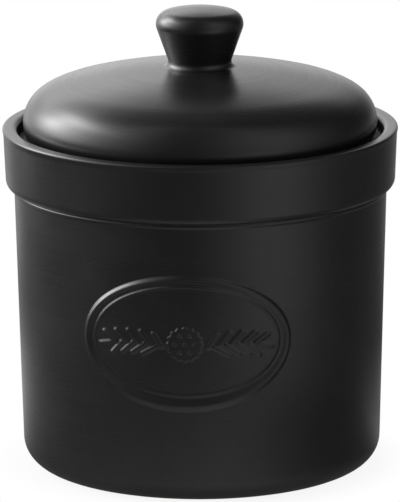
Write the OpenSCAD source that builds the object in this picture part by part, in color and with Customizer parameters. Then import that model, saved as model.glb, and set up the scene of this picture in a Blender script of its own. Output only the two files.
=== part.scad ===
// Stoneware biscuit jar: a collared crock with a drop-in domed lid, a luted knob,
// a silicone lid seal and an oval label plaque raised on the front of the wall.
// Origin: centre of the foot, on the surface that the jar stands on. +Z is up, and
// the plaque faces -Y. Every body but the plaque is a surface of revolution about Z.

/* [Jar] */
// Height of the jar from the foot to the rim, without the lid
jar_h = 144.5; // [125:0.5:190]
// Outside diameter of the collar at its lip
collar_d = 166; // [150:1:190]
// Thickness of the stoneware wall
wall = 5.5; // [4:0.25:6.5]
// Radius that the wall gives away from the collar down to the foot
wall_draft = 3; // [0.5:0.1:5]
// Radius of the outer corner between wall and foot
foot_round = 11.25; // [6:0.25:16]
// Thickness of the floor above the foot recess
floor_t = 6; // [4:0.5:10]
// Depth of the recess inside the foot ring
foot_recess = 2; // [1:0.25:3]
// Width of the foot ring that meets the table
foot_ring_w = 6; // [3:0.5:10]
// Radius of the inner corner between wall and floor
inner_round = 10; // [6:0.5:14]

/* [Collar] */
// Height of the collar
collar_h = 25.2; // [22:0.1:30]
// Step from the wall out to the lip
collar_step = 4.75; // [3:0.25:6]
// How far the rounded lip stands out of the collar
lip_flare = 0.4; // [0.2:0.1:1]
// Radius that the collar gives away from the lip down to its lower edge
collar_draft = 0.8; // [0:0.1:1.6]
// Width of the collar's wall at the rim
rim_w = 6.5; // [5:0.25:7]
// Rounding of the rim's outer edge
rim_round = 1; // [0.8:0.1:1.8]
// Rounding of the rim's inner edge
rim_inner_round = 2.5; // [1:0.1:3]
// Rounding of the collar's lower edge
collar_round = 3.25; // [2.5:0.25:5]
// Radius of the small bead that closes the corner under the collar
bead_r = 0.9; // [0.5:0.1:1.2]
// Depth of the gallery from the rim down to the ledge
gallery_depth = 6; // [5.5:0.1:9]
// Width of the ledge that the lid rests on
ledge_w = 7; // [6:0.25:9]
// Thickness of the ledge
ledge_t = 5.5; // [4:0.25:7]
// Rounding of the ledge's corners
ledge_round = 1; // [0.5:0.1:1.5]

/* [Lid] */
// Gap all round between the lid and the gallery
lid_gap = 2.25; // [1.5:0.25:3]
// Thickness of the lid
lid_wall = 5.5; // [4.5:0.25:6]
// Height of the lid's widest line above the rim
lid_widest = 1.75; // [0:0.25:4]
// Radius of the lid's side, which turns in over the widest line and below it
side_round = 15; // [13:0.5:18]
// How far that turn goes before the shoulder takes over, in degrees
side_turn = 60; // [50:1:66]
// Radius of the lid's shoulder
shoulder_round = 34; // [26:1:50]
// Radius of the lid's crown
crown_round = 230; // [190:5:300]
// Rounding of the lid's lower edge
lid_edge_round = 1.5; // [1:0.1:2]
// Radius of the lid's inner corner over the spigot
lid_inner_round = 2; // [1:0.25:3]

/* [Spigot and seal] */
// Radial gap between the mouth and the spigot, which the seal fills
spigot_gap = 3.5; // [3:0.25:4.5]
// Length of the spigot below the ledge
spigot_h = 12; // [10:0.5:16]
// Thickness of the spigot
spigot_t = 5; // [4:0.25:6]
// Rounding of the spigot's inner edges
spigot_round = 1; // [0.5:0.1:1.5]
// Height of the spigot's bead that holds the seal up
spigot_bead_h = 2; // [1.5:0.25:3]
// How far that bead stands out of the spigot
spigot_bead = 1; // [0.5:0.25:1.25]
// Thickness of the seal's flange between lid and ledge
seal_flange_t = 1; // [0.8:0.1:2]
// How far the flange stays back from the flat under the lid's edge
flange_inset = 1.25; // [0.5:0.25:1.5]
// Thickness of the seal's sleeve round the spigot
seal_sleeve_t = 1.4; // [1:0.1:1.8]
// Number of sealing fins on the sleeve
fin_count = 3; // [2:1:4]
// Thickness of a fin at its root
fin_t = 1.1; // [0.8:0.1:1.4]

/* [Knob] */
// Largest diameter of the knob
knob_d = 36.7; // [30:0.1:44]
// Height of the knob above its foot on the lid
knob_h = 25; // [21:0.1:30]
// Diameter to which the knob's flank would run at its foot
knob_neck_d = 24.7; // [20:0.1:28]
// Rounding of the knob's widest edge
knob_round = 5.5; // [4:0.25:7]
// Radius of the knob's crown
knob_crown_round = 60; // [40:1:80]
// Radius of the fillet from the knob's flank to the lid
knob_fillet = 2.2; // [1.2:0.1:3]
// Depth of the socket in the lid that the knob's foot is luted into
knob_socket = 1.2; // [0.8:0.1:2]

/* [Label plaque] */
// Length of the oval along the wall
plaque_w = 89; // [70:1:100]
// Height of the oval
plaque_h = 57; // [40:1:62]
// Height of the oval's centre above the foot
plaque_z = 69; // [55:1:74]
// Height of the rounded lip round the oval
lip_h = 1.3; // [0.8:0.1:2]
// Width of the lip
lip_w = 2.2; // [1.6:0.1:3]
// Width of the hollow channel inside the lip
channel_w = 3.2; // [2:0.1:4]
// Thickness of the plaque under the channel
channel_t = 0.4; // [0.3:0.1:0.8]
// Height of the field inside the channel
field_h = 0.9; // [0.7:0.1:1.6]
// Height of the fine line that borders the field
line_h = 0.3; // [0.1:0.05:0.5]
// Width of that line
line_w = 0.8; // [0.6:0.1:1.2]

/* [Fits] */
// Gap between the seal and the ledge with the lid on
seat_gap = 0.2; // [0.1:0.05:0.4]
// Gap between the fins and the mouth
fin_gap = 0.3; // [0.15:0.05:0.5]
// Gap between the knob's foot and its socket
lute_gap = 0.05; // [0.02:0.01:0.1]
// Bed of glaze between the plaque and the wall
plaque_bed = 0.1; // [0.08:0.01:0.2]

/* [Hidden] */
// Segments of a quarter turn in a profile, and stations round the plaque's oval
arc_steps = 14;
plaque_stations = 64;
$fn = 96;

glaze = [0.12, 0.12, 0.12];
silicone = [0.12, 0.12, 0.12];

// Radii and heights of the jar
rim_r = collar_d / 2;
collar_z = jar_h - collar_h;
wall_r = rim_r - collar_step;
foot_r = wall_r - wall_draft;
band_r = rim_r - lip_flare;
collar_r = band_r - collar_draft;
gallery_r = rim_r - rim_w;
ledge_z = jar_h - gallery_depth;
mouth_r = gallery_r - ledge_w;
floor_z = foot_recess + floor_t;

// Slope of the wall, and of the collar's outside, against the vertical
wall_lean = atan(wall_draft / collar_z);
collar_lean = atan(collar_draft / collar_h);

// Radii and heights of the lid
lid_r = gallery_r - lid_gap;
widest_z = jar_h + lid_widest;
seal_z = ledge_z + seat_gap;
lid_seat_z = seal_z + seal_flange_t;
spigot_r = mouth_r - spigot_gap;
spigot_in_r = spigot_r - spigot_t;
spigot_z = ledge_z - spigot_h;

// Centres of the three arcs of the lid's outside: side, shoulder and crown.
// Each is tangent to the next, and the crown's centre lies on the axis.
side_c = [lid_r - side_round, widest_z];
// The side's arc runs on below the widest line into the rounding of the lower edge
edge_z = lid_seat_z + lid_edge_round;
edge_reach = side_round - lid_edge_round;
edge_turn = asin((edge_z - widest_z) / edge_reach);
edge_x = side_c[0] + edge_reach * cos(edge_turn);
shoulder_c = side_c + (side_round - shoulder_round) * [cos(side_turn), sin(side_turn)];
shoulder_turn = acos(shoulder_c[0] / (crown_round - shoulder_round));
crown_c = [0, shoulder_c[1] + (shoulder_round - crown_round) * sin(shoulder_turn)];

// The knob's fillet stands in the corner between the flank and the lid
knob_r = knob_d / 2;
neck_r = knob_neck_d / 2;
knob_side_c_x = knob_r - knob_round;
knob_crown_rise = sqrt(pow(knob_crown_round - knob_round, 2) - pow(knob_side_c_x, 2));
knob_side_c = [knob_side_c_x, knob_h - knob_crown_round + knob_crown_rise];
flank = knob_side_c - [neck_r, 0];
flank_lean = 90 - (atan2(flank[1], flank[0]) - asin(knob_round / norm(flank)));
fillet_reach = knob_fillet / tan((90 - flank_lean) / 2);
knob_foot_r = neck_r + fillet_reach;
knob_crown_turn = atan2(knob_crown_rise, knob_side_c_x);

// Height at which the knob's foot lies on the crown
knob_z = crown_c[1] + sqrt(pow(crown_round, 2) - pow(knob_foot_r, 2));

// Points of an arc from angle a to angle b, in degrees
function arc(c, r, a, b) =
    let (n = max(2, ceil(arc_steps * abs(b - a) / 90)))
    [for (i = [0 : n]) c + r * [cos(a + (b - a) * i / n), sin(a + (b - a) * i / n)]];

// Radius of the wall's outside at height z
function wall_at(z) = foot_r + wall_draft * z / collar_z;

// Outside of the jar, from the foot ring up to the rim
function jar_outside() =
    let (
        // centre of the foot's corner, which touches both the table and the leaning wall
        corner_x = foot_r - foot_round / cos(wall_lean) + foot_round * tan(wall_lean),
        under_x = collar_r - collar_round,
        under_turn = -acos((wall_r - under_x) / collar_round),
        lip_turn = acos((rim_round - lip_flare) / rim_round)
    )
    concat(
        arc([corner_x, foot_round], foot_round, -90, -wall_lean),
        arc([wall_at(collar_z - 2 * bead_r) - bead_r * 0.4, collar_z - bead_r], bead_r, -65, 65),
        arc([under_x, collar_z + collar_round], collar_round, under_turn, -collar_lean),
        [[band_r, jar_h - rim_round - 2 * rim_round * sin(lip_turn)]],
        arc([rim_r - rim_round, jar_h - rim_round], rim_round, -lip_turn / 2, 90)
    );

// Inside of the jar, from the rim down over the gallery and its ledge to the floor
function jar_inside() =
    let (
        floor_r = wall_at(floor_z) - wall,
        under_z = ledge_z - ledge_t,
        slope_z = under_z - (wall_at(under_z) - wall - mouth_r)
    )
    concat(
        arc([gallery_r + rim_inner_round, jar_h - rim_inner_round], rim_inner_round, 90, 180),
        arc([gallery_r - ledge_round, ledge_z + ledge_round], ledge_round, 0, -90),
        arc([mouth_r + ledge_round, ledge_z - ledge_round], ledge_round, 90, 180),
        [[mouth_r, under_z]],
        [[wall_at(slope_z) - wall, slope_z]],
        arc([floor_r - inner_round, floor_z + inner_round], inner_round, 0, -90),
        [[0, floor_z]]
    );

// Underside of the jar, from the axis out over the recess to the foot ring
function jar_underside() =
    let (ring_in = foot_r - foot_round - foot_ring_w)
    [[0, foot_recess], [ring_in - foot_recess, foot_recess], [ring_in, 0]];

module jar_body() {
    color(glaze)
    rotate_extrude()
    polygon(concat(jar_underside(), jar_outside(), jar_inside()));
}

// A point of the plaque: share k of the way from the oval's centre to a ring that lies
// inset from the edge, at angle a round the oval and height h over the wall. The oval
// is drawn flat and then wrapped round the leaning wall.
function plaque_point(inset, k, a, h) =
    let (
        along = k * (plaque_w / 2 - inset) * cos(a),
        z = plaque_z + k * (plaque_h / 2 - inset) * sin(a),
        turn = along / wall_at(plaque_z) * 180 / PI,
        r = wall_at(z) + plaque_bed + h
    )
    [r * sin(turn), -r * cos(turn), z];

// Section of the plaque from its edge inwards, as [inset, share of the oval, height]:
// a quarter round up to the lip's crest, a fall into the channel, the fine line as half
// a wave on the field's border, and the field in to the middle
function plaque_section() =
    let (
        crest = lip_w / 2,
        line = lip_w + channel_w,
        field = line + line_w
    )
    concat(
        [[0, 1, 0]],
        [for (t = [0.25 : 0.25 : 1]) [crest * (1 - cos(t * 90)), 1, lip_h * sin(t * 90)]],
        [for (t = [1 : 3]) [crest * (1 + sin(t * 30)), 1,
            channel_t + (lip_h - channel_t) * cos(t * 30)]],
        [[line - line_w, 1, channel_t]],
        [for (t = [-0.5 : 0.5 : 0.5]) [line + t * line_w, 1, field_h + line_h * cos(t * 90)]],
        [for (k = [1, 0.82, 0.62, 0.4, 0.2]) [field, k, field_h]]
    );

// The plaque is lofted ring by ring, from its edge over its face to the middle of the
// field, and from the middle of its back out over the side that lies on the wall.
module label_plaque() {
    face = plaque_section();
    back = [for (k = [1 : 6]) [0, k / 7, 0]];
    rings = concat(face, back);
    n = plaque_stations;
    face_end = len(face) - 1;
    back_start = len(face);
    front_middle = len(rings) * n;
    back_middle = front_middle + 1;
    points = concat(
        [for (ring = rings) for (i = [0 : n - 1])
            plaque_point(ring[0], ring[1], 360 * i / n, ring[2])],
        [plaque_point(0, 0, 0, field_h)],
        [plaque_point(0, 0, 0, 0)]
    );
    // Triangles from each ring to the next, all but the step from face to back
    bands = [
        for (a = [0 : len(rings) - 1])
        if (a != face_end)
        for (i = [0 : n - 1])
        let (b = (a + 1) % len(rings), j = (i + 1) % n)
        each [[a * n + i, b * n + i, b * n + j], [a * n + i, b * n + j, a * n + j]]
    ];
    front_fan = [for (i = [0 : n - 1])
        [face_end * n + i, front_middle, face_end * n + (i + 1) % n]];
    back_fan = [for (i = [0 : n - 1])
        [back_start * n + i, back_start * n + (i + 1) % n, back_middle]];
    color(glaze)
    polyhedron(points, concat(bands, front_fan, back_fan), convexity = 6);
}

// Outside of the lid from the end of the spigot up to the edge of the knob's socket
function lid_outside() =
    let (
        bead = spigot_bead_h / 2,
        bead_end = acos((bead - spigot_bead) / bead),
        socket_r = knob_foot_r + lute_gap,
        socket_turn = acos(socket_r / crown_round)
    )
    concat(
        arc([spigot_in_r + spigot_round, spigot_z + spigot_round], spigot_round, 180, 270),
        arc([spigot_r + spigot_bead - bead, spigot_z + bead], bead, -90, bead_end),
        [[spigot_r, lid_seat_z]],
        arc([edge_x, edge_z], lid_edge_round, -90, edge_turn),
        arc(side_c, side_round, edge_turn, side_turn),
        arc(shoulder_c, shoulder_round, side_turn, shoulder_turn),
        arc(crown_c, crown_round, shoulder_turn, socket_turn),
        [[socket_r, knob_z - knob_socket], [0, knob_z - knob_socket]]
    );

// Inside of the lid: the same three arcs, one wall further in, a fillet that touches the
// side's arc and the web, and the web to the spigot
function lid_inside() =
    let (
        web_z = lid_seat_z + lid_wall,
        fillet_z = web_z + lid_inner_round,
        fillet_reach = side_round - lid_wall - lid_inner_round,
        fillet_turn = asin((fillet_z - widest_z) / fillet_reach),
        fillet_x = side_c[0] + fillet_reach * cos(fillet_turn)
    )
    concat(
        [[0, crown_c[1] + crown_round - lid_wall]],
        arc(crown_c, crown_round - lid_wall, 90, shoulder_turn),
        arc(shoulder_c, shoulder_round - lid_wall, shoulder_turn, side_turn),
        arc(side_c, side_round - lid_wall, side_turn, fillet_turn),
        arc([fillet_x, fillet_z], lid_inner_round, fillet_turn, -90),
        arc([spigot_in_r + spigot_round, web_z - spigot_round], spigot_round, 90, 180)
    );

module lid_dome() {
    color(glaze)
    rotate_extrude()
    polygon(concat(lid_outside(), lid_inside()));
}

// Profile of the knob from its foot in the socket up to the crown
function knob_outline() =
    concat(
        [[0, -knob_socket], [knob_foot_r, -knob_socket]],
        arc([knob_foot_r, knob_fillet], knob_fillet, 270, 180 - flank_lean),
        arc(knob_side_c, knob_round, -flank_lean, knob_crown_turn),
        arc([0, knob_h - knob_crown_round], knob_crown_round, knob_crown_turn, 90)
    );

module lid_knob() {
    color(glaze)
    translate([0, 0, knob_z])
    rotate_extrude()
    polygon(knob_outline());
}

// Section of the seal: flange under the lid, sleeve round the spigot, fins to the mouth
function seal_outline() =
    let (
        sleeve_r = spigot_r + seal_sleeve_t,
        fin_r = mouth_r - fin_gap,
        sleeve_z = spigot_z + spigot_bead_h,
        flange_r = edge_x - flange_inset,
        pitch = (ledge_z - ledge_t / 4 - sleeve_z) / (fin_count + 0.5)
    )
    concat(
        [[spigot_r, lid_seat_z], [spigot_r, sleeve_z]],
        [for (i = [0 : fin_count - 1]) let (z = sleeve_z + pitch * (i + 0.5))
            each [[sleeve_r, z - fin_t / 2], [fin_r, z + fin_t * 0.3],
                [fin_r, z + fin_t * 0.8], [sleeve_r, z + fin_t / 2]]],
        [[sleeve_r, seal_z], [flange_r, seal_z], [flange_r, lid_seat_z]]
    );

module lid_seal() {
    color(silicone)
    rotate_extrude()
    polygon(seal_outline());
}

jar_body();
label_plaque();
lid_dome();
lid_knob();
lid_seal();
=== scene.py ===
"""A stoneware biscuit jar in satin black glaze, dressed over its CAD frame, on a studio floor.

The turned pieces are one Geometry Nodes lathe over drawn profiles, and the label plaque is an oval
relief wrapped round the wall. Sizes are metres in the CAD frame: +Z up, the plaque faces -Y.
"""

import bpy
import numpy as np
from bpy.props import FloatProperty, FloatVectorProperty, IntProperty, PointerProperty
from bpy.types import Operator, Panel, PropertyGroup
from math import acos, asin, atan, atan2, ceil, cos, hypot, pi, radians, sin, sqrt, tan
from mathutils import Matrix, Vector


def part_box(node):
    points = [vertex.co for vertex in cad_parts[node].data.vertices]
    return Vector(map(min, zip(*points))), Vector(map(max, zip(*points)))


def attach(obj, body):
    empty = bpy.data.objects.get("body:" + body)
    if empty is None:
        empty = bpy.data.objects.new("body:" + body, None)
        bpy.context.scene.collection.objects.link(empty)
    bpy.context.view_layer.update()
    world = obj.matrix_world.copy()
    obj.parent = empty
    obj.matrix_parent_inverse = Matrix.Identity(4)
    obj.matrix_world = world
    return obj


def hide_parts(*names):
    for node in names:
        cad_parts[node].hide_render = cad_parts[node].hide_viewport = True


bl_info = {
    "name": "Stoneware Biscuit Jar",
    "version": (1, 0, 0),
    "blender": (4, 5, 0),
    "location": "View3D > Sidebar > Biscuit Jar",
    "description": "Builds a lidded biscuit jar in satin black glaze, piece by piece",
    "category": "Add Mesh",
}

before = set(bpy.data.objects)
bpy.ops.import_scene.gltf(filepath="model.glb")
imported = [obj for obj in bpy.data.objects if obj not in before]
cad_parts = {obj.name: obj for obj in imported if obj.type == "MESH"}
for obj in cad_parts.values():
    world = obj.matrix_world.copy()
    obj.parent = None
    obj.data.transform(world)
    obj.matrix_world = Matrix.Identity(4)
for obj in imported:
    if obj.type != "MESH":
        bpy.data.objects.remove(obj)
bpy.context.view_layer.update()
JAR_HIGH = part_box("jar_body")[1]

MM = 0.001
FINE = 0.1 * MM  # spacing at which a profile is rounded before it is thinned out
NARROW = MM  # rounding of the ledge's and the spigot's edges
BARE = 0.35 * MM  # height over a standing edge to which the glaze is wiped off
WAVE = 0.05 * MM  # how far the turned walls wave
WAVE_SIZE = 45 * MM
LEVEL = 6 * MM  # height over which the waves set in, so that the foot stays level
SEAM = 2e-7  # distance within which points of a turned form are one
MARKS = ("along", "bare", "dull")  # a turned form's attributes, which its glaze reads


# ---------------------------------------------------------------- sizes and looks


def length(name, description, millimetres):
    """A size in metres, whose default is given in millimetres."""
    return FloatProperty(
        name=name,
        description=description,
        default=millimetres * MM,
        subtype="DISTANCE",
        unit="LENGTH",
        precision=5,
    )


def angle(name, description, degrees):
    """An angle in radians, whose default is given in degrees."""
    return FloatProperty(
        name=name,
        description=description,
        default=radians(degrees),
        subtype="ANGLE",
        unit="ROTATION",
    )


def share(name, description, default):
    """A plain number from 0 to 1."""
    return FloatProperty(name=name, description=description, default=default, min=0, max=1)


def colour(name, description, default):
    """A linear colour."""
    return FloatVectorProperty(
        name=name, description=description, default=default, subtype="COLOR", size=3, min=0, max=1
    )


class JarSizes(PropertyGroup):
    """Sizes of the jar body."""

    height: length("Height", "Foot to rim, without the lid", JAR_HIGH.z / MM)
    lip_radius: length("Lip radius", "Outside radius of the collar at its lip", JAR_HIGH.x / MM)
    wall: length("Wall", "Thickness of the wall", 5.5)
    wall_draft: length("Wall draft", "Radius the wall gives away down to the foot", 3)
    foot_round: length("Foot rounding", "Outer corner between wall and foot", 11.25)
    floor: length("Floor", "Thickness of the floor over the recess", 6)
    foot_recess: length("Foot recess", "Depth of the recess inside the foot ring", 2)
    foot_ring: length("Foot ring", "Width of the ring that meets the table", 6)
    inner_round: length("Inner corner", "Rounding between wall and floor inside", 10)
    collar_height: length("Collar height", "Height of the collar", 25.2)
    collar_step: length("Collar step", "Step from the wall out to the lip", 4.75)
    lip_flare: length("Lip flare", "How far the lip stands out of the collar", 0.4)
    collar_draft: length("Collar draft", "Radius the collar gives away down to its edge", 0.8)
    rim_width: length("Rim width", "Width of the collar's wall at the rim", 6.5)
    rim_round: length("Rim rounding", "Outer edge of the rim", 1)
    rim_inner_round: length("Rim inner rounding", "Inner edge of the rim", 2.5)
    collar_round: length("Collar rounding", "Lower edge of the collar", 3.25)
    bead: length("Bead", "Radius of the bead in the corner under the collar", 0.9)
    gallery_depth: length("Gallery depth", "Rim down to the ledge", 6)
    ledge_width: length("Ledge width", "Width of the ledge that carries the lid", 7)
    ledge: length("Ledge", "Thickness of the ledge", 5.5)
    glaze_softness: length("Glaze softness", "How far the glaze rounds every corner", 0.3)


class LidSizes(PropertyGroup):
    """Sizes of the lid and its knob, and of the room that the seal takes."""

    gap: length("Gap", "Between the lid and the gallery, all round", 2.25)
    wall: length("Wall", "Thickness of the lid", 5.5)
    widest: length("Widest line", "Height of the widest line over the rim", 1.75)
    side_round: length("Side radius", "Where the side turns in over the widest line and below", 15)
    side_turn: angle("Side turn", "How far the side turns before the shoulder takes over", 60)
    shoulder_round: length("Shoulder radius", "Between side and crown", 34)
    crown_round: length("Crown radius", "Dome of the lid", 230)
    edge_round: length("Edge rounding", "Lower edge of the lid", 1.5)
    seat_gap: length("Seat gap", "Between the seal and the ledge", 0.2)
    spigot_gap: length("Spigot gap", "Between the mouth and the spigot", 3.5)
    spigot_height: length("Spigot height", "Length of the spigot below the ledge", 12)
    spigot_wall: length("Spigot wall", "Thickness of the spigot", 5)
    bead_height: length("Bead height", "Height of the bead that holds the seal up", 2)
    bead: length("Bead", "How far that bead stands out", 1)
    seal_flange: length("Seal flange", "Thickness of the seal between lid and ledge", 1)
    knob_radius: length("Knob radius", "Largest radius of the knob", 18.35)
    knob_height: length("Knob height", "Foot to top of the knob", 25)
    knob_neck: length("Knob neck", "Radius to which the flank runs at the foot", 12.35)
    knob_round: length("Knob rounding", "Widest edge of the knob", 5.5)
    knob_crown: length("Knob crown", "Radius of the knob's top", 60)
    knob_fillet: length("Knob fillet", "Between the flank and the lid", 2.2)
    knob_socket: length("Knob socket", "How deep the knob's foot sits in the lid", 1.2)


class PlaqueSizes(PropertyGroup):
    """Sizes of the oval label plaque and its wheat ornament."""

    width: length("Width", "Length of the oval along the wall", 89)
    height: length("Height", "Height of the oval", 57)
    centre: length("Centre", "Height of the oval's centre over the foot", 69)
    border: length("Border", "Lip, channel and fine line together", 6.4)
    ear_start: length("Ear start", "Where an ear's stem starts, from the centre", 9.2)
    ear_end: length("Ear end", "Where an ear's tip is, from the centre", 31)
    grains: IntProperty(name="Grains", description="Grains on an ear", default=10, min=3)
    grain_length: length("Grain length", "Length of a grain's core line", 6.2)
    grain_width: length("Grain width", "Half width of a grain", 1.4)
    grain_lean: angle("Grain lean", "Angle between a grain and the stem", 43)
    biscuit_radius: length("Biscuit radius", "The small round biscuit in the middle", 7.3)
    relief: length("Relief", "Height of the ornament over the field", 0.56)


class GlazeLook(PropertyGroup):
    """Colours and finish of the materials."""

    black: colour("Black", "Glaze where it lies thick", (0.0095, 0.0095, 0.0098))
    thin: colour("Thin", "Glaze where it lies thin", (0.0125, 0.0122, 0.0120))
    clay: colour("Clay", "Bare stoneware of the foot ring", (0.52, 0.44, 0.35))
    silicone: colour("Silicone", "Lid seal", (0.05, 0.05, 0.05))
    roughness: share("Roughness", "Satin of the glaze", 0.28)
    streak: length("Streak height", "Height of the turning lines", 0.00045)
    peel: length("Peel height", "Height of the fine unevenness", 0.002)


class StageLook(PropertyGroup):
    """Where the camera stands. The room's light turns with it."""

    distance: length("Camera distance", "From the camera to its target", 2300)
    lens: FloatProperty(
        name="Lens", description="Focal length in millimetres", default=391.1, unit="CAMERA"
    )
    elevation: angle("Elevation", "Camera above the horizon", 13.33)
    azimuth: angle("Azimuth", "Camera round the jar, from the front towards +X", 5)
    roll: angle("Roll", "Tilt of the camera about its own axis", -0.3)
    target_height: length("Target height", "Height that the camera looks at", 90.01)
    target_side: length("Target side", "How far right of the axis the camera looks", -0.35)


# ---------------------------------------------------------------- nodes as Python


def pick(sockets, key):
    """The socket with this index, identifier or name, of those that are in use."""
    if isinstance(key, int):
        return sockets[key]
    for socket in sockets:
        if socket.enabled and key in (socket.identifier, socket.name):
            return socket
    raise KeyError(f"no socket {key!r} among {[s.name for s in sockets]}")


def both_ways(operation):
    """The two methods of a Python operator, for a Value on its left and for one on its right."""
    return (
        lambda self, other: self.math(operation, self, other),
        lambda self, other: self.math(operation, other, self),
    )


class Value:
    """A node's output in Python expressions. Each operator adds its Math node."""

    def __init__(self, maker, socket):
        self.maker = maker
        self.socket = socket

    def math(self, operation, *values):
        return self.maker.value("ShaderNodeMath", {"operation": operation}, dict(enumerate(values)))

    __add__, __radd__ = both_ways("ADD")
    __sub__, __rsub__ = both_ways("SUBTRACT")
    __mul__, __rmul__ = both_ways("MULTIPLY")
    __truediv__, __rtruediv__ = both_ways("DIVIDE")
    __mod__ = both_ways("FLOORED_MODULO")[0]
    __pow__ = both_ways("POWER")[0]

    def __neg__(self):
        return self.math("MULTIPLY", self, -1)

    def most(self, other):
        return self.math("MAXIMUM", self, other)

    def least(self, other):
        return self.math("MINIMUM", self, other)

    def sine(self):
        return self.math("SINE", self)

    def cosine(self):
        return self.math("COSINE", self)

    def rise(self, low, high):
        """Smooth step from 0 at low to 1 at high."""
        return self.maker.value(
            "ShaderNodeMapRange",
            {"interpolation_type": "SMOOTHSTEP"},
            {"Value": self, "From Min": low, "From Max": high, "To Min": 0, "To Max": 1},
        )

    def fall(self, low, high):
        """Smooth step from 1 at low to 0 at high."""
        return 1 - self.rise(low, high)


class Maker:
    """Makes the nodes of one tree."""

    def __init__(self, tree):
        self.tree = tree

    def node(self, kind, settings=None, sockets=None):
        """A node of this type: its settings first, then its sockets' values or links."""
        made = self.tree.nodes.new(kind)
        for name, setting in (settings or {}).items():
            setattr(made, name, setting)
        for key, given in (sockets or {}).items():
            socket = pick(made.inputs, key)
            if isinstance(given, Value):
                self.tree.links.new(given.socket, socket)
            else:
                socket.default_value = given
        return made

    def value(self, kind, settings=None, sockets=None, out=0):
        """One output of a new node."""
        return Value(self, pick(self.node(kind, settings, sockets).outputs, out))

    def split(self, vector):
        """The three numbers of a vector."""
        made = self.node("ShaderNodeSeparateXYZ", None, {0: vector})
        return [Value(self, out) for out in made.outputs]

    def vector(self, x, y, z):
        return self.value("ShaderNodeCombineXYZ", None, {0: x, 1: y, 2: z})

    def dot(self, vector, direction):
        return self.value(
            "ShaderNodeVectorMath", {"operation": "DOT_PRODUCT"}, {0: vector, 1: direction}, "Value"
        )

    def noise(self, vector, scale, detail=2.0):
        sockets = {"Vector": vector, "Scale": scale, "Detail": detail}
        return self.value("ShaderNodeTexNoise", None, sockets)

    def blend(self, factor, low, high):
        """A colour between low and high."""
        return self.value(
            "ShaderNodeMix",
            {"data_type": "RGBA"},
            {"Factor_Float": factor, "A_Color": low, "B_Color": high},
            "Result_Color",
        )

    def bumped(self, height, distance=1.0):
        """The normal of a surface with these heights on it, in units of the distance."""
        heights = {"Strength": 1.0, "Distance": distance, "Height": height}
        return self.value("ShaderNodeBump", None, heights, "Normal")

    def attribute(self, name):
        """A float attribute, in a geometry tree."""
        return self.value(
            "GeometryNodeInputNamedAttribute", {"data_type": "FLOAT"}, {"Name": name}, "Attribute"
        )

    def store(self, geometry, name, value):
        """The geometry with a float attribute on its points."""
        return self.value(
            "GeometryNodeStoreNamedAttribute",
            {"data_type": "FLOAT", "domain": "POINT"},
            {"Geometry": geometry, "Name": name, "Value": value},
        )

    def place(self, geometry, position):
        """The geometry with its points moved here."""
        return self.value(
            "GeometryNodeSetPosition", None, {"Geometry": geometry, "Position": position}
        )

    def join(self, *parts):
        made = self.node("GeometryNodeJoinGeometry")
        for part in parts:
            self.tree.links.new(part.socket, made.inputs[0])
        return Value(self, made.outputs[0])


def opaque(rgb):
    return (*rgb, 1.0)


# ---------------------------------------------------------------- profiles


def arc(x, z, radius, start, end):
    """Points of an arc in a profile, from angle start to angle end, in radians."""
    steps = max(4, ceil(abs(end - start) * radius / (2 * FINE)))
    angles = np.linspace(start, end, steps + 1)
    return [(x + radius * cos(a), z + radius * sin(a)) for a in angles]


def glazed_over(points, softness):
    """A profile with every corner rounded as glaze does, by blurring it along its length."""
    points = np.array(points, float)
    steps = np.hypot(*np.diff(points, axis=0).T)
    along = np.concatenate([[0], np.cumsum(steps)])
    fine = np.linspace(0, along[-1], max(2, ceil(along[-1] / FINE)))
    line = np.stack([np.interp(fine, along, points[:, i]) for i in (0, 1)], 1)
    if softness > 0:
        reach = ceil(4 * softness / FINE)
        offsets = np.arange(-reach, reach + 1) * FINE
        weights = np.exp(-0.5 * (offsets / softness) ** 2)
        weights /= weights.sum()
        # past an end that lies on the axis the profile goes on as its mirror image
        before = line[1 : reach + 1][::-1] * [-1, 1]
        after = line[-reach - 1 : -1][::-1] * [-1, 1]
        padded = np.concatenate([before, line, after])
        line = np.stack([np.convolve(padded[:, i], weights, "valid") for i in (0, 1)], 1)
        line[[0, -1], 0] = 0
    return line


def thinned(line, turn=radians(7), closest=0.28 * MM, furthest=3.2 * MM, grade=0.3):
    """The points of a fine line that its curves need, with spacings that change gradually."""
    steps = np.diff(line, axis=0)
    spans = np.hypot(*steps.T)
    headings = np.unwrap(np.arctan2(steps[:, 1], steps[:, 0]))
    bends = np.abs(np.gradient(headings)) / np.maximum(spans, 1e-9)
    wanted = np.clip(turn / np.maximum(bends, 1e-6), closest, furthest)
    for order in (range(1, len(wanted)), range(len(wanted) - 2, -1, -1)):
        for i in order:
            wanted[i] = min(wanted[i], wanted[i - order.step] + grade * spans[i])
    count = np.concatenate([[0], np.cumsum(spans / wanted)])
    marks = np.linspace(0, count[-1], ceil(count[-1]) + 1)
    along = np.concatenate([[0], np.cumsum(spans)])
    places = np.interp(marks, count, along)
    return np.stack([np.interp(places, along, line[:, i]) for i in (0, 1)], 1), places


def jar_wall(jar):
    """Radii of the jar's wall: at the foot, and its gain for each metre of height."""
    collar_z = jar.height - jar.collar_height
    foot_r = jar.lip_radius - jar.collar_step - jar.wall_draft
    return foot_r, jar.wall_draft / collar_z


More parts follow.
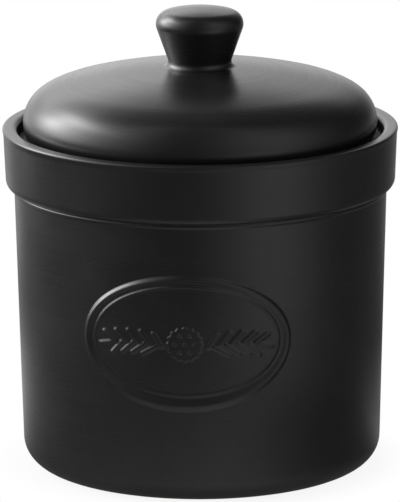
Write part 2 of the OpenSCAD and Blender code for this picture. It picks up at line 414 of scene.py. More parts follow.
def jar_profile(jar):
    """The jar from the middle of its underside, up its outside, and down inside to its floor."""
    foot_r, slope = jar_wall(jar)
    lean = atan(slope)
    collar_z = jar.height - jar.collar_height
    wall_r = jar.lip_radius - jar.collar_step
    band_r = jar.lip_radius - jar.lip_flare
    collar_r = band_r - jar.collar_draft
    gallery_r = jar.lip_radius - jar.rim_width
    ledge_z = jar.height - jar.gallery_depth
    mouth_r = gallery_r - jar.ledge_width
    floor_z = jar.foot_recess + jar.floor
    ring_in = foot_r - jar.foot_round - jar.foot_ring
    corner_x = foot_r - jar.foot_round / cos(lean) + jar.foot_round * tan(lean)
    under_x = collar_r - jar.collar_round
    under_turn = -acos((wall_r - under_x) / jar.collar_round)
    lip_turn = acos((jar.rim_round - jar.lip_flare) / jar.rim_round)
    under_z = ledge_z - jar.ledge

    def wall_at(z):
        return foot_r + slope * z

    # the bead's middle lies in the wall by this share of its radius
    sunk, bead_turn = 0.4, radians(65)
    slope_z = under_z - (wall_at(under_z) - jar.wall - mouth_r)
    floor_r = wall_at(floor_z) - jar.wall
    bead_x = wall_at(collar_z - 2 * jar.bead) - sunk * jar.bead
    collar_lean = atan(jar.collar_draft / jar.collar_height)
    return [
        (0, jar.foot_recess),
        (ring_in - jar.foot_recess, jar.foot_recess),
        (ring_in, 0),
        *arc(corner_x, jar.foot_round, jar.foot_round, -pi / 2, -lean),
        *arc(bead_x, collar_z - jar.bead, jar.bead, -bead_turn, bead_turn),
        *arc(under_x, collar_z + jar.collar_round, jar.collar_round, under_turn, -collar_lean),
        (band_r, jar.height - jar.rim_round - 2 * jar.rim_round * sin(lip_turn)),
        *arc(jar.lip_radius - jar.rim_round, jar.height - jar.rim_round, jar.rim_round,
             -lip_turn / 2, pi / 2),
        *arc(gallery_r + jar.rim_inner_round, jar.height - jar.rim_inner_round,
             jar.rim_inner_round, pi / 2, pi),
        *arc(gallery_r - NARROW, ledge_z + NARROW, NARROW, 0, -pi / 2),
        *arc(mouth_r + NARROW, ledge_z - NARROW, NARROW, pi / 2, pi),
        (mouth_r, under_z),
        (wall_at(slope_z) - jar.wall, slope_z),
        *arc(floor_r - jar.inner_round, floor_z + jar.inner_round, jar.inner_round, 0, -pi / 2),
        (0, floor_z),
    ]


class LidForm:
    """Radii, heights and arc centres that the lid, the knob and the seal share."""

    def __init__(self, jar, lid):
        gallery_r = jar.lip_radius - jar.rim_width
        ledge_z = jar.height - jar.gallery_depth
        self.radius = gallery_r - lid.gap
        self.seal_z = ledge_z + lid.seat_gap
        self.seat_z = self.seal_z + lid.seal_flange
        self.mouth_r = gallery_r - jar.ledge_width
        self.spigot_r = self.mouth_r - lid.spigot_gap
        self.spigot_z = ledge_z - lid.spigot_height
        self.ledge_z = ledge_z
        widest_z = jar.height + lid.widest
        self.side = (self.radius - lid.side_round, widest_z)
        # the side's arc runs on below the widest line into the rounding of the lower edge
        edge_reach = lid.side_round - lid.edge_round
        self.edge_z = self.seat_z + lid.edge_round
        self.edge_turn = asin((self.edge_z - widest_z) / edge_reach)
        self.edge_x = self.side[0] + edge_reach * cos(self.edge_turn)
        reach = lid.side_round - lid.shoulder_round
        self.shoulder = (
            self.side[0] + reach * cos(lid.side_turn),
            self.side[1] + reach * sin(lid.side_turn),
        )
        self.turn = acos(self.shoulder[0] / (lid.crown_round - lid.shoulder_round))
        self.crown_z = self.shoulder[1] + (lid.shoulder_round - lid.crown_round) * sin(self.turn)

        # the knob's widest arc touches its flank and its crown
        self.knob_x = lid.knob_radius - lid.knob_round
        rise = sqrt((lid.knob_crown - lid.knob_round) ** 2 - self.knob_x**2)
        self.knob_side_z = lid.knob_height - lid.knob_crown + rise
        flank_x = self.knob_x - lid.knob_neck
        span = hypot(flank_x, self.knob_side_z)
        self.flank_lean = pi / 2 - atan2(self.knob_side_z, flank_x) + asin(lid.knob_round / span)
        self.knob_crown_turn = atan2(rise, self.knob_x)
        fillet_reach = lid.knob_fillet / tan((pi / 2 - self.flank_lean) / 2)
        self.knob_foot_r = lid.knob_neck + fillet_reach
        self.knob_z = self.crown_z + sqrt(lid.crown_round**2 - self.knob_foot_r**2)


def lid_profile(jar, lid):
    """The lid from the middle of its inside, out round the spigot, and up over the crown."""
    form = LidForm(jar, lid)
    inside = [
        (0, form.crown_z + lid.crown_round - lid.wall),
        *arc(0, form.crown_z, lid.crown_round - lid.wall, pi / 2, form.turn),
        *arc(*form.shoulder, lid.shoulder_round - lid.wall, form.turn, lid.side_turn),
    ]
    # a fillet touches the side's arc and the web
    web_z = form.seat_z + lid.wall
    fillet = 2 * MM
    reach = lid.side_round - lid.wall - fillet
    turn = asin((web_z + fillet - form.side[1]) / reach)
    spigot_in = form.spigot_r - lid.spigot_wall
    inside += [
        *arc(*form.side, lid.side_round - lid.wall, lid.side_turn, turn),
        *arc(form.side[0] + reach * cos(turn), web_z + fillet, fillet, turn, -pi / 2),
        *arc(spigot_in + NARROW, web_z - NARROW, NARROW, pi / 2, pi),
        *arc(spigot_in + NARROW, form.spigot_z + NARROW, NARROW, pi, 3 * pi / 2),
    ]
    half = lid.bead_height / 2
    bead_end = acos((half - lid.bead) / half)
    outside = [
        *arc(form.spigot_r + lid.bead - half, form.spigot_z + half, half, -pi / 2, bead_end),
        (form.spigot_r, form.seat_z),
        *arc(form.edge_x, form.edge_z, lid.edge_round, -pi / 2, form.edge_turn),
        *arc(*form.side, lid.side_round, form.edge_turn, lid.side_turn),
        *arc(*form.shoulder, lid.shoulder_round, lid.side_turn, form.turn),
        *arc(0, form.crown_z, lid.crown_round, form.turn, pi / 2),
    ]
    return inside + outside


def knob_profile(jar, lid):
    """The knob from the middle of its foot, out over the fillet, and up to its crown."""
    form = LidForm(jar, lid)
    foot_r = form.knob_foot_r
    fillet = lid.knob_fillet
    base = form.knob_z
    # the slip that joins the knob runs out a little way over the crown
    skirt, skirt_drop = 0.8 * MM, 0.12 * MM
    return [
        (0, base - lid.knob_socket),
        (foot_r + skirt, base - lid.knob_socket),
        (foot_r + skirt, base - skirt_drop),
        *arc(foot_r, base + fillet, fillet, 3 * pi / 2, pi - form.flank_lean),
        *arc(form.knob_x, base + form.knob_side_z, lid.knob_round,
             -form.flank_lean, form.knob_crown_turn),
        *arc(0, base + lid.knob_height - lid.knob_crown, lid.knob_crown,
             form.knob_crown_turn, pi / 2),
    ]


# ---------------------------------------------------------------- Geometry Nodes trees


def node_group(name, inputs):
    """An empty geometry tree with these inputs, as (tree, maker, its inputs by name)."""
    tree = bpy.data.node_groups.new(name, "GeometryNodeTree")
    tree.interface.new_socket("Geometry", in_out="INPUT", socket_type="NodeSocketGeometry")
    for label, kind in inputs.items():
        tree.interface.new_socket(label, in_out="INPUT", socket_type=f"NodeSocket{kind}")
    tree.interface.new_socket("Geometry", in_out="OUTPUT", socket_type="NodeSocketGeometry")
    maker = Maker(tree)
    entry = maker.node("NodeGroupInput")
    given = {out.name: Value(maker, out) for out in entry.outputs if out.name}
    return tree, maker, given


def close_group(maker, geometry, material):
    """Ends a tree as the export needs it: plain geometry in its material."""
    smooth = maker.value("GeometryNodeSetShadeSmooth", None, {0: geometry})
    real = maker.value("GeometryNodeRealizeInstances", None, {0: smooth})
    dressed = maker.value("GeometryNodeSetMaterial", None, {0: real, "Material": material})
    maker.node("NodeGroupOutput", None, {"Geometry": dressed})


def lathe_tree():
    """Turns a profile, drawn as a row of points in the XZ plane, about the Z axis."""
    kinds = {"Stations": "Int", "Wave": "Float", "Wave size": "Float", "Material": "Material"}
    tree, m, given = node_group("turned_form", kinds)
    profile = given["Geometry"]
    count = m.value(
        "GeometryNodeAttributeDomainSize", {"component": "MESH"}, {0: profile}, "Point Count"
    )
    stations = given["Stations"]
    grid = m.value(
        "GeometryNodeMeshGrid",
        None,
        {"Size X": 1.0, "Size Y": 1.0, "Vertices X": stations + 1, "Vertices Y": count},
    )
    index = m.value("GeometryNodeInputIndex")
    row = index % count
    turn = (index - row) / count / stations * (2 * pi)

    def sampled(kind, value):
        return m.value(
            "GeometryNodeSampleIndex",
            {"data_type": kind, "domain": "POINT"},
            {"Geometry": profile, "Value": value, "Index": row},
        )

    radius, _, height = m.split(sampled("FLOAT_VECTOR", m.value("GeometryNodeInputPosition")))
    shaped = m.place(grid, m.vector(radius * turn.cosine(), radius * turn.sine(), height))
    for name in MARKS:
        shaped = m.store(shaped, name, sampled("FLOAT", m.attribute(name)))
    ends = {"Geometry": shaped, "Distance": SEAM}
    closed = m.value("GeometryNodeMergeByDistance", None, ends)
    place = m.value("GeometryNodeInputPosition")
    normal = m.value("GeometryNodeInputNormal")
    swell = (m.noise(place, 1 / given["Wave size"], 1.0) - 0.5) * m.split(place)[2].rise(0, LEVEL)
    push = m.value(
        "ShaderNodeVectorMath",
        {"operation": "SCALE"},
        {0: normal, "Scale": swell * 2 * given["Wave"]},
    )
    waved = m.value("GeometryNodeSetPosition", None, {"Geometry": closed, "Offset": push})
    close_group(m, waved, given["Material"])
    return tree


STEM_ARCH = 1.5 * MM  # how far an ear's stem bends
STEM_FLANK = (0.15 * MM, 0.75 * MM)  # distances from a line at which its flank starts and ends
STEM_HEIGHT = 0.6  # as a share of the relief, as are the docking holes' depth
GRAIN_START = 0.5 * MM  # from the stem to the grain's core line
GRAIN_FLANK = (0.2, 1.12)  # as shares of the grain's half width
SCALLOPS, SCALLOP_DEPTH = 16, 0.3 * MM
BISCUIT_FLANK = (-0.55 * MM, 0.3 * MM)
DOCKING = ((0.0, 3), (0.56, 6))  # rings of holes: share of the biscuit's radius, and points
HOLE_FLANK = (0.3 * MM, 1.05 * MM)
HOLE_DEPTH = 0.8


# Inputs of the relief that are the plaque's own sizes
RELIEF_SIZES = (
    "Centre", "Ear start", "Ear end", "Grain length", "Grain width", "Grain lean",
    "Biscuit radius", "Relief",
)  # fmt: skip


def relief_tree():
    """Raises two wheat ears and a round biscuit on a flat plaque and wraps it round the wall."""
    numbers = dict.fromkeys(("Foot radius", "Wall slope", *RELIEF_SIZES), "Float")
    kinds = {**numbers, "Grains": "Int", "Material": "Material"}
    tree, m, given = node_group("wheat_relief", kinds)
    start, end = given["Ear start"], given["Ear end"]
    stem = m.value(
        "GeometryNodeCurveQuadraticBezier",
        None,
        {
            "Resolution": 24,
            "Start": m.vector(start, 0.0, -STEM_ARCH),
            "Middle": m.vector((start + end) / 2, 0.0, STEM_ARCH),
            "End": m.vector(end, 0.0, -STEM_ARCH / 2),
        },
    )
    points = m.node("GeometryNodeCurveToPoints", {"mode": "COUNT"}, {"Curve": stem})
    tree.links.new(given["Grains"].socket, pick(points.inputs, "Count"))
    grain = m.value(
        "GeometryNodeMeshLine",
        {"mode": "OFFSET"},
        {
            "Count": 2,
            "Start Location": (GRAIN_START, 0, 0),
            "Offset": m.vector(given["Grain length"], 0.0, 0.0),
        },
    )
    index = m.value("GeometryNodeInputIndex")
    side = (index % 2) * 2 - 1
    tip = index.math("COMPARE", index, given["Grains"] - 1, 0.5)
    heading = m.value(
        "FunctionNodeAlignRotationToVector",
        {"axis": "X", "pivot_axis": "Y"},
        {"Vector": Value(m, pick(points.outputs, "Tangent"))},
    )
    leaned = m.value(
        "FunctionNodeRotateRotation",
        {"rotation_space": "LOCAL"},
        {0: heading, 1: m.vector(0.0, side * (1 - tip) * given["Grain lean"], 0.0)},
    )
    grains = m.value(
        "GeometryNodeInstanceOnPoints",
        None,
        {"Points": Value(m, points.outputs[0]), "Instance": grain, "Rotation": leaned},
    )

    def both_sides(geometry):
        real = m.value("GeometryNodeRealizeInstances", None, {0: geometry})
        other = m.value("GeometryNodeTransform", None, {"Geometry": real, "Scale": (-1, 1, 1)})
        return m.join(real, other)

    place = m.value("GeometryNodeInputPosition")

    def distance(geometry, element):
        return m.value(
            "GeometryNodeProximity",
            {"target_element": element},
            {0: geometry, "Source Position": place},
            "Distance",
        )

    stem_lines = m.value("GeometryNodeCurveToMesh", None, {"Curve": stem})
    width = given["Grain width"]
    near, far = (width * part for part in GRAIN_FLANK)
    grain_rise = distance(both_sides(grains), "EDGES").fall(near, far)
    stem_rise = distance(both_sides(stem_lines), "EDGES").fall(*STEM_FLANK) * STEM_HEIGHT

    # the biscuit has a scalloped edge and is docked with two rings of small holes
    along, _, up = m.split(place)
    reach = (along * along + up * up) ** 0.5
    bearing = up.math("ARCTAN2", up, along)
    edge = given["Biscuit radius"] + (bearing * SCALLOPS).cosine() * SCALLOP_DEPTH
    biscuit_rise = (reach - edge).fall(*BISCUIT_FLANK)
    rings = []
    for part, count in DOCKING:
        circle = m.value(
            "GeometryNodeMeshCircle",
            {"fill_type": "NONE"},
            {"Vertices": count, "Radius": given["Biscuit radius"] * part},
        )
        stood = {"Geometry": circle, "Rotation": (pi / 2, 0, 0)}
        rings.append(m.value("GeometryNodeTransform", None, stood))
    dent = distance(m.join(*rings), "POINTS").fall(*HOLE_FLANK)
    raised = grain_rise.most(stem_rise).most(biscuit_rise - dent * HOLE_DEPTH)

    height = m.attribute("height") + raised * given["Relief"] * m.attribute("face")
    wall = given["Foot radius"] + given["Wall slope"] * given["Centre"]
    level = given["Centre"] + up
    radius = given["Foot radius"] + given["Wall slope"] * level + height
    turn = along / wall
    wrapped = m.vector(radius * turn.sine(), -(radius * turn.cosine()), level)
    # the turning lines of the wall go on under the glaze of the plaque
    shaped = m.store(m.place(given["Geometry"], wrapped), "along", level)
    close_group(m, shaped, given["Material"])
    return tree


# ---------------------------------------------------------------- making pieces


def formed(name, base, tree, inputs):
    """The plain mesh that a tree makes of a base mesh, as a new object at the origin."""
    blank = bpy.data.objects.new(f"{name}_blank", base)
    bpy.context.scene.collection.objects.link(blank)
    modifier = blank.modifiers.new("form", "NODES")
    modifier.node_group = tree
    sockets = {s.name: s.identifier for s in tree.interface.items_tree if s.in_out == "INPUT"}
    for label, given in inputs.items():
        modifier[sockets[label]] = given
    depsgraph = bpy.context.evaluated_depsgraph_get()
    mesh = bpy.data.meshes.new_from_object(
        blank.evaluated_get(depsgraph), preserve_all_data_layers=True, depsgraph=depsgraph
    )
    bpy.data.objects.remove(blank)
    mesh.name = name
    piece = bpy.data.objects.new(name, mesh)
    bpy.context.scene.collection.objects.link(piece)
    volume = signed_volume(mesh)
    if volume <= 0:
        raise RuntimeError(f"{name} is inside out: its volume is {volume * 1e6:.2f} cm3")
    print(f"{name}: {len(mesh.vertices)} points, {volume * 1e6:.2f} cm3")
    return piece


def signed_volume(mesh):
    """Volume inside a closed mesh, below 0 where its faces point inwards."""
    mesh.calc_loop_triangles()
    corners = np.zeros(len(mesh.loop_triangles) * 3, np.int32)
    mesh.loop_triangles.foreach_get("vertices", corners)
    places = np.zeros(len(mesh.vertices) * 3)
    mesh.vertices.foreach_get("co", places)
    a, b, c = places.reshape(-1, 3)[corners.reshape(-1, 3)].transpose(1, 0, 2)
    return float(np.einsum("ij,ij->i", a, np.cross(b, c)).sum() / 6)


def marked_mesh(name, points, edges, faces, marks):
    """A mesh with a float attribute for each mark."""
    mesh = bpy.data.meshes.new(name)
    mesh.from_pydata([tuple(map(float, p)) for p in points], edges, faces)
    for label, values in marks.items():
        attribute = mesh.attributes.new(label, "FLOAT", "POINT")
        attribute.data.foreach_set("value", np.asarray(values, np.float32))
    return mesh


def turned(name, profile, softness, stations=240, wave=0.0, bare=None, dull=None):
    """A piece turned about the Z axis from its profile, with its corners glazed over."""
    line, along = thinned(glazed_over(profile, softness))
    rows = [(x, 0, z) for x, z in line]
    marks = {"along": along}
    for label, there in (("bare", bare), ("dull", dull)):
        marks[label] = [1.0 if there and there(x, z) else 0.0 for x, z in line]
    edges = [(i, i + 1) for i in range(len(rows) - 1)]
    base = marked_mesh(f"{name}_profile", rows, edges, [], marks)
    inputs = {
        "Stations": stations,
        "Wave": wave,
        "Wave size": WAVE_SIZE,
        "Material": shared_material(GLAZE, glaze),
    }
    return formed(name, base, group("turned_form", lathe_tree), inputs)


def group(name, build):
    """The node group of this name, built the first time it is asked for."""
    return bpy.data.node_groups.get(name) or build()


# Height of the plaque over the wall at each distance in from the oval's edge, in millimetres
PLAQUE_SECTION = (
    (-1.1, -0.16), (-0.75, -0.02), (-0.35, 0.2), (0.0, 0.52), (0.4, 0.9), (0.85, 1.2),
    (1.3, 1.3), (1.8, 1.22), (2.4, 1.0), (3.0, 0.74), (3.6, 0.56), (4.2, 0.49), (4.55, 0.54),
    (4.9, 0.72), (5.25, 0.99), (5.6, 1.07), (5.95, 0.97), (6.4, 0.9), (7.2, 0.9),
)  # fmt: skip
PLAQUE_BACK = -0.45 * MM  # height of its back, inside the wall
LINE_SHIFT = 1.25 * MM  # how much higher the fine line sits than the oval's edge
LIP_SHIFT = 0.9 * MM  # how much broader the lip is at the bottom
BACK_RINGS, SECTION_RINGS, FIELD_RINGS = 10, 62, 92
BACK_HOLE, FIELD_HOLE = 0.1, 0.012  # the innermost rings, as shares of the oval
FACE_FADE = 0.06  # share of the field's reach over which the ornament may start


def section_height(inset):
    """Smooth curve through the plaque's section, at insets in metres."""
    where, heights = np.array(PLAQUE_SECTION).T * MM
    slopes = np.gradient(heights, where)
    i = np.clip(np.searchsorted(where, inset) - 1, 0, len(where) - 2)
    span = where[i + 1] - where[i]
    t = np.clip((inset - where[i]) / span, 0, 1)
    start, end = heights[i], heights[i + 1]
    return (
        start * (2 * t**3 - 3 * t**2 + 1)
        + end * (3 * t**2 - 2 * t**3)
        + span * slopes[i] * (t**3 - 2 * t**2 + t)
        + span * slopes[i + 1] * (t**3 - t**2)
    )


def ring_shift(inset, angle):
    """How much further in a ring of the plaque lies at this angle. The fine line sits a little
    high in the oval, and the lip is broader at the bottom."""
    lip, crest, channel = -0.35 * MM, 1.3 * MM, 3.5 * MM
    on_line = np.interp(inset, (crest, channel), (0, 1))
    on_lip = np.interp(inset, (lip, crest), (0, 1)) - on_line
    low = max(0.0, -sin(angle))
    return LIP_SHIFT * low**2 * on_lip - LINE_SHIFT * sin(angle) * on_line


def plaque_blank(plaque, stations=384):
    """The plaque laid flat: ring by ring from its back's middle, round its edge, to its face."""
    half_w, half_h = plaque.width / 2, plaque.height / 2
    edge = PLAQUE_SECTION[0][0] * MM
    rings = [(edge, k, PLAQUE_BACK, 0.0) for k in np.linspace(BACK_HOLE, 1, BACK_RINGS)]
    insets = np.linspace(edge, plaque.border, SECTION_RINGS)
    rings += [(s, 1.0, float(section_height(s)), 0.0) for s in insets]
    field = float(section_height(plaque.border))
    shares = np.linspace(1, FIELD_HOLE, FIELD_RINGS)[1:]
    rings += [(plaque.border, k, field, min(1.0, (1 - k) / FACE_FADE)) for k in shares]
    angles = np.arange(stations) * 2 * pi / stations
    points, heights, face = [(0, 0, 0)], [PLAQUE_BACK], [0.0]
    for inset, k, height, marked in rings:
        for a in angles:
            far_in = inset + ring_shift(inset, a)
            points.append((k * (half_w - far_in) * cos(a), 0, k * (half_h - far_in) * sin(a)))
        heights += [height] * stations
        face += [marked] * stations
    points.append((0, 0, 0))
    heights.append(field)
    face.append(1.0)
    last = len(points) - 1
    faces = []
    for i in range(stations):
        j = (i + 1) % stations
        faces.append((0, 1 + j, 1 + i))
        for r in range(len(rings) - 1):
            near, far = 1 + r * stations, 1 + (r + 1) * stations
            faces.append((near + i, near + j, far + j, far + i))
        top = 1 + (len(rings) - 1) * stations
        faces.append((top + i, top + j, last))
    return marked_mesh("plaque_blank", points, [], faces, {"height": heights, "face": face})


# ---------------------------------------------------------------- materials


def material(name):
    """A new material with an empty tree, as (material, maker)."""
    made = bpy.data.materials.new(name)
    made.use_nodes = True
    made.node_tree.nodes.clear()
    return made, Maker(made.node_tree)


def finish_material(maker, shader):
    maker.node("ShaderNodeOutputMaterial", None, {"Surface": shader})


GLAZE = "satin_black_glaze"
FINE_LINES = {"spacing": 0.9 * MM, "laps": 0.6}
BROAD_LINES = {"spacing": 3.6 * MM, "laps": 0.5}
PEEL_SIZE, PATCH_SIZE = 1.6 * MM, 22 * MM
PIT_SPACING, PIT_DEPTH, PIT_EDGE = 9 * MM, 0.02 * MM, (0.012, 0.034)
THIN_EDGE, CLAY_EDGE = (0.35, 0.75), (0.35, 0.65)
CLAY_WANDER = 0.5  # how far the clay's edge wanders
CLAY_ROUGHNESS, CLAY_SHADE = 0.82, 0.82
LINE_SWAY, BROAD_SWAY, PATCH_SWAY = 0.055, 0.032, 0.04  # how far the roughness goes with each
DULLNESS = 0.3


def glaze(name, look):
    """Satin black glaze over a turned form, with bare clay where it was wiped off."""
    made, m = material(name)
    place = m.value("ShaderNodeTexCoord", out="Object")
    x, y, _ = m.split(place)
    along, bare, dull = (
        m.value("ShaderNodeAttribute", {"attribute_name": mark}, out="Fac") for mark in MARKS
    )
    radius = ((x * x + y * y) ** 0.5).most(0.2 * MM)

    # turning lines run round the axis, so they are noise along the profile that changes
    # slowly with the bearing
    def lines(spacing, laps):
        return m.noise(m.vector(x / radius * laps, y / radius * laps, along / spacing), 1.0)

    fine = lines(**FINE_LINES)
    broad = lines(**BROAD_LINES)
    peel = m.noise(place, 1 / PEEL_SIZE)
    patch = m.noise(place, 1 / PATCH_SIZE, 3.0)
    speck = m.value(
        "ShaderNodeTexVoronoi",
        {"feature": "F1"},
        {"Vector": place, "Scale": 1 / PIT_SPACING, "Randomness": 1.0},
        "Distance",
    )
    pit = speck.fall(*PIT_EDGE)

    wiped = (bare + (peel - 0.5) * CLAY_WANDER).rise(*CLAY_EDGE)
    body = m.blend(patch.rise(*THIN_EDGE), opaque(look.black), opaque(look.thin))
    clay = m.blend(peel, opaque(look.clay), opaque([c * CLAY_SHADE for c in look.clay]))
    base = m.blend(wiped, body, clay)
    satin = look.roughness
    for mark, sway in ((fine, LINE_SWAY), (broad, BROAD_SWAY), (patch, PATCH_SWAY)):
        satin = (mark - 0.5) * sway + satin
    rough = (satin + dull * DULLNESS) * (1 - wiped) + wiped * CLAY_ROUGHNESS

    relief = (fine + broad * 2) * look.streak + peel * look.peel - pit * PIT_DEPTH
    shader = m.value(
        "ShaderNodeBsdfPrincipled",
        None,
        {"Base Color": base, "Roughness": rough, "IOR": 1.5, "Normal": m.bumped(relief)},
    )
    finish_material(m, shader)
    return made


SILICONE = "lid_seal_silicone"
SEAL_GRAIN, SEAL_CLOUD = 0.8 * MM, 14 * MM
SEAL_SHADE, SEAL_ROUGHNESS, SEAL_SWAY = 0.9, 0.5, 0.12
GRAIN_HEIGHT = 0.01 * MM


def silicone(name, look):
    """Matt moulded silicone with the fine grain of its mould."""
    made, m = material(name)
    place = m.value("ShaderNodeTexCoord", out="Object")
    grain = m.noise(place, 1 / SEAL_GRAIN)
    cloud = m.noise(place, 1 / SEAL_CLOUD)
    shade = opaque([c * SEAL_SHADE for c in look.silicone])
    tint = m.blend(cloud, opaque(look.silicone), shade)
    shader = m.value(
        "ShaderNodeBsdfPrincipled",
        None,
        {
            "Base Color": tint,
            "Roughness": SEAL_ROUGHNESS + (grain - 0.5) * SEAL_SWAY,
            "IOR": 1.41,
            "Subsurface Weight": 0.15,
            "Subsurface Scale": 2 * MM,
            "Normal": m.bumped(grain, GRAIN_HEIGHT),
        },
    )
    finish_material(m, shader)
    return made


def shared_material(name, build):
    """The material of this name, built the first time it is asked for."""
    return bpy.data.materials.get(name) or build(name, settings().look)


# ---------------------------------------------------------------- operators


def settings():
    return bpy.context.scene.biscuit_jar


class ThrowJar(Operator):
    """Turn the jar body: wall, floor, foot ring, collar, gallery and ledge"""

    bl_idname = "biscuit_jar.throw_jar"
    bl_label = "Jar Body"

    def execute(self, context):
        jar = settings().jar
        # the gallery, where the seal rests, has a duller glaze
        ledge = jar.height - jar.gallery_depth - 0.5 * MM
        rim = jar.height - 2 * MM
        gallery = jar.lip_radius - jar.rim_width + 0.7 * MM
        piece = turned(
            "stoneware_jar", jar_profile(jar), jar.glaze_softness, wave=WAVE,
            bare=lambda x, z: z < BARE,
            dull=lambda x, z: ledge < z < rim and x < gallery,
        )  # fmt: skip
        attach(piece, "jar")
        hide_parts("jar_body")
        return {"FINISHED"}


class PressPlaque(Operator):
    """Press the oval label plaque with its wheat ornament and lay it on the wall"""

    bl_idname = "biscuit_jar.press_plaque"
    bl_label = "Label Plaque"

    def execute(self, context):
        jar, plaque = settings().jar, settings().plaque
        foot_r, slope = jar_wall(jar)
        inputs = {
            "Foot radius": foot_r,
            "Wall slope": slope,
            "Grains": plaque.grains,
            "Material": shared_material(GLAZE, glaze),
        }
        for label in RELIEF_SIZES:
            inputs[label] = getattr(plaque, label.lower().replace(" ", "_"))
        tree = group("wheat_relief", relief_tree)
        piece = formed("wheat_label", plaque_blank(plaque), tree, inputs)
        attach(piece, "jar")
        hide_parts("label_plaque")
        return {"FINISHED"}


class CastLid(Operator):
    """Cast the lid's dome with its spigot"""

    bl_idname = "biscuit_jar.cast_lid"
    bl_label = "Lid"

    def execute(self, context):
        jar, lid = settings().jar, settings().lid
        ground = LidForm(jar, lid).spigot_z + BARE
        piece = turned(
            "domed_lid", lid_profile(jar, lid), jar.glaze_softness, wave=WAVE,
            bare=lambda x, z: z < ground,
        )  # fmt: skip
        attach(piece, "lid")
        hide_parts("lid_dome")
        return {"FINISHED"}


class TurnKnob(Operator):
    """Turn the waisted knob and lute it to the lid"""

    bl_idname = "biscuit_jar.turn_knob"
    bl_label = "Knob"

    def execute(self, context):
        jar, lid = settings().jar, settings().lid
        piece = turned("lid_handle", knob_profile(jar, lid), jar.glaze_softness, stations=160)
        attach(piece, "lid")
        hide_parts("lid_knob")
        return {"FINISHED"}


class MouldSeal(Operator):
    """Give the silicone seal round the spigot its finish"""

    bl_idname = "biscuit_jar.mould_seal"
    bl_label = "Lid Seal"

    def execute(self, context):
        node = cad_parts["lid_seal"]
        node.data.materials.clear()
        node.data.materials.append(shared_material(SILICONE, silicone))
        return {"FINISHED"}


class SetStage(Operator):
    """Set the floor, the studio light and the camera"""

    bl_idname = "biscuit_jar.set_stage"
    bl_label = "Stage"

    def execute(self, context):
        stage = settings().stage
        lay_floor(stage)
        light_room(stage)
        place_camera(stage)
        return {"FINISHED"}


def view_axes(stage):
    """Level unit vectors to the camera's right and away from it."""
    return (
        Vector((cos(stage.azimuth), sin(stage.azimuth), 0)),
        Vector((-sin(stage.azimuth), cos(stage.azimuth), 0)),
    )


def light_path(maker):
    """The rays' kinds, as (seen by the camera or through glass, seen in a reflection)."""
    path = maker.node("ShaderNodeLightPath")
    camera, glossy, clear = (
        Value(maker, pick(path.outputs, name))
        for name in ("Is Camera Ray", "Is Glossy Ray", "Is Transmission Ray")
    )
    return camera.most(clear), glossy


# Soft lights of the studio: bearing from behind the jar, elevation, their half widths, radiance
STUDIO_BASE = 0.10
STUDIO_LIGHTS = (
    (-70, 19, 25, 23, 7.6),
    (-64, 39, 29, 7, 8.5),
    (-61, 21, 9, 10, 7.2),
    (-18, 25, 30, 8, 2.2),
    (-9, 0, 23, 18, 1.5),
    (130, 28, 34, 52, 0.62),
    (-107, 30, 27, 43, 1.1),
    (60, 18, 30, 28, -0.055),
)
# Painted reflections: pale patches that the floor shows only to reflections, so that the table
# shows pale in the glaze. Each has its bearing, its half width, radiance, and the reach at which it
# starts and is full
PAINTED_TABLE_BASE = 0.107
PAINTED_TABLE_GLOWS = (
    (-36, 38, 0.63, 0.35, 0.15),
    (167, 28, 0.36, 0.35, 0.15),
    (178, 42, 0.11, 0.17, 0.12),
    (-148, 24, 0.18, 0.35, 0.15),
    (139, 28, 0.63, 0.15, 0.35),
    (-113, 20, 0.18, 0.15, 0.5),
    (-64, 12, 0.74, 0.35, 0.9),
    (-31, 13, 0.33, 0.2, 0.5),
    (-36, 29, 0.21, 0.2, 0.5),
    (34, 20, 0.35, 0.25, 0.1),
    (10, 22, 0.27, 0.15, 0.5),
    (70, 14, 0.2, 0.25, 0.1),
    (-10, 35, 0.45, 0.8, 1.6),
    (-60, 32, 0.5, 0.6, 1.2),
)
PAINTED_SHADOW_REACH = (0.067, 0.084)  # painted shadow: the painted glows are left out under the jar and weak at its foot
FLOOR_HALF = 6.0
FLOOR_GREY = 0.62  # the paper that takes the shadow
FOOT_WHITE = 0.9  # how white the floor looks at the foot, shadow apart
ALL_WHITE = (0.065, 0.093)  # reaches between which it turns fully white
WHITE = (1, 1, 1, 1)


def soft_spot(angles):
    """A smooth bump of 1 in the middle. Each angle has its value, middle and half width."""
    off = 0
    for value, middle, half in angles:
        aside = (value + (pi - radians(middle))) % (2 * pi) - pi
        off = (aside / radians(half)) ** 2 + off
    return off.math("EXPONENT", -off)


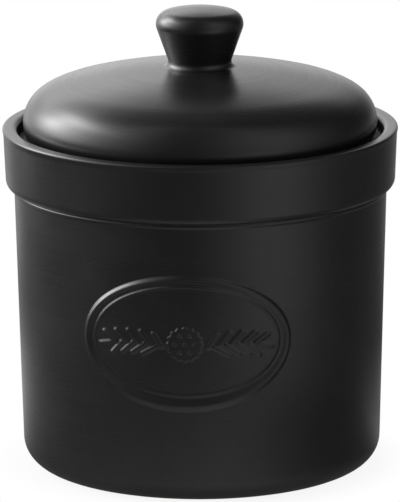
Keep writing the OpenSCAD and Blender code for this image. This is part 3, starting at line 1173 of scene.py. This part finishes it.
def lay_floor(stage):
    """A pale floor that keeps the jar's shadow and runs out into the white behind it. In
    reflections it shows no lit paper but painted pale patches, with a painted shadow under the jar.
    """
    square = ((-1, -1), (1, -1), (1, 1), (-1, 1))
    corners = [(x * FLOOR_HALF, y * FLOOR_HALF, 0) for x, y in square]
    mesh = marked_mesh("studio_floor", corners, [], [(0, 1, 2, 3)], {})
    floor = bpy.data.objects.new("studio_floor", mesh)
    bpy.context.scene.collection.objects.link(floor)
    made, m = material("pale_floor")
    place = m.value("ShaderNodeTexCoord", out="Object")
    reach = m.value("ShaderNodeVectorMath", {"operation": "LENGTH"}, {0: place}, "Value")
    bearing = bearing_of(m, place, stage)
    glows = 0
    for around, wide, radiance, start, end in PAINTED_TABLE_GLOWS:
        window = reach.rise(start, end) if start < end else reach.fall(end, start)
        glows = soft_spot(((bearing, around, wide),)) * window * radiance + glows
    # The floor's radiance seen in reflections: painted pale patches, with a painted shadow under
    # the jar, over a dim painted base
    table = glows * reach.rise(*PAINTED_SHADOW_REACH) + PAINTED_TABLE_BASE
    seen, reflected = light_path(m)
    white = FOOT_WHITE + (1 - FOOT_WHITE) * reach.rise(*ALL_WHITE)
    paper = m.value("ShaderNodeBsdfDiffuse", None, {"Color": opaque([FLOOR_GREY] * 3)})
    strength = seen + (1 - seen) * table
    glow = m.value("ShaderNodeEmission", None, {"Color": WHITE, "Strength": strength})
    # reflections see only this painted glow, never the lit paper
    glowing = (seen * white + reflected).least(1.0)
    shader = m.value("ShaderNodeMixShader", None, {0: glowing, 1: paper, 2: glow})
    # seen from below the floor is open, so that the jar's underside shows
    below = m.value("ShaderNodeNewGeometry", out="Backfacing")
    open_floor = m.value("ShaderNodeBsdfTransparent")
    shader = m.value("ShaderNodeMixShader", None, {0: below, 1: shader, 2: open_floor})
    finish_material(m, shader)
    mesh.materials.append(made)


def bearing_of(m, vector, stage):
    """Angle of a vector round the jar, from straight behind it, positive to the right."""
    right, away = view_axes(stage)
    side, back = m.dot(vector, right), m.dot(vector, away)
    return side.math("ARCTAN2", side, back)


def light_room(stage):
    """White all round for the camera. The jar is lit by soft lights in a dark room."""
    world = bpy.data.worlds.new("studio")
    bpy.context.scene.world = world
    world.use_nodes = True
    world.node_tree.nodes.clear()
    m = Maker(world.node_tree)
    direction = m.value("ShaderNodeTexCoord", out="Generated")
    bearing = bearing_of(m, direction, stage)
    up = m.split(direction)[2]
    elevation = up.math("ARCSINE", up)
    room = STUDIO_BASE
    for around, above, wide, high, radiance in STUDIO_LIGHTS:
        room = room + soft_spot(((bearing, around, wide), (elevation, above, high))) * radiance
    seen, _ = light_path(m)
    strength = seen + (1 - seen) * room
    shader = m.value("ShaderNodeBackground", None, {"Color": WHITE, "Strength": strength})
    m.node("ShaderNodeOutputWorld", None, {"Surface": shader})


def place_camera(stage):
    """The camera round the front of the jar, level but for a slight roll."""
    right, away = view_axes(stage)
    target = right * stage.target_side + Vector((0, 0, stage.target_height))
    back = -away * cos(stage.elevation) + Vector((0, 0, sin(stage.elevation)))
    lens = bpy.data.cameras.new("studio_camera")
    lens.lens = stage.lens
    lens.sensor_width = 36
    lens.clip_start, lens.clip_end = 0.1, 50
    camera = bpy.data.objects.new("studio_camera", lens)
    turn = back.to_track_quat("Z", "Y").to_matrix().to_4x4() @ Matrix.Rotation(stage.roll, 4, "Z")
    camera.matrix_world = Matrix.Translation(target + back * stage.distance) @ turn
    bpy.context.scene.collection.objects.link(camera)
    bpy.context.scene.camera = camera
    bpy.context.scene.view_settings.view_transform = "Standard"


# ---------------------------------------------------------------- add-on


class BiscuitJar(PropertyGroup):
    """All sizes and looks of the jar and its stage."""

    jar: PointerProperty(type=JarSizes, name="Jar")
    lid: PointerProperty(type=LidSizes, name="Lid")
    plaque: PointerProperty(type=PlaqueSizes, name="Plaque")
    look: PointerProperty(type=GlazeLook, name="Look")
    stage: PointerProperty(type=StageLook, name="Stage")


OPERATORS = (ThrowJar, PressPlaque, CastLid, TurnKnob, MouldSeal, SetStage)


class JarPanel(Panel):
    """Lists the jar's pieces and the sizes and looks that they are made with"""

    bl_idname = "VIEW3D_PT_biscuit_jar"
    bl_label = "Biscuit Jar"
    bl_space_type = "VIEW_3D"
    bl_region_type = "UI"
    bl_category = "Biscuit Jar"

    def draw(self, context):
        for operator in OPERATORS:
            self.layout.operator(operator.bl_idname)
        for label in ("jar", "lid", "plaque", "look", "stage"):
            sizes = getattr(context.scene.biscuit_jar, label)
            box = self.layout.box()
            box.label(text=label.title())
            for name in sizes.__annotations__:
                box.prop(sizes, name)


CLASSES = (JarSizes, LidSizes, PlaqueSizes, GlazeLook, StageLook, BiscuitJar, *OPERATORS, JarPanel)


def register():
    for cls in CLASSES:
        bpy.utils.register_class(cls)
    bpy.types.Scene.biscuit_jar = PointerProperty(type=BiscuitJar)


def unregister():
    del bpy.types.Scene.biscuit_jar
    for cls in reversed(CLASSES):
        bpy.utils.unregister_class(cls)


def main():
    register()
    make = bpy.ops.biscuit_jar
    for step in (
        make.throw_jar,
        make.press_plaque,
        make.cast_lid,
        make.turn_knob,
        make.mould_seal,
        make.set_stage,
    ):
        step()


if __name__ == "__main__":
    main()
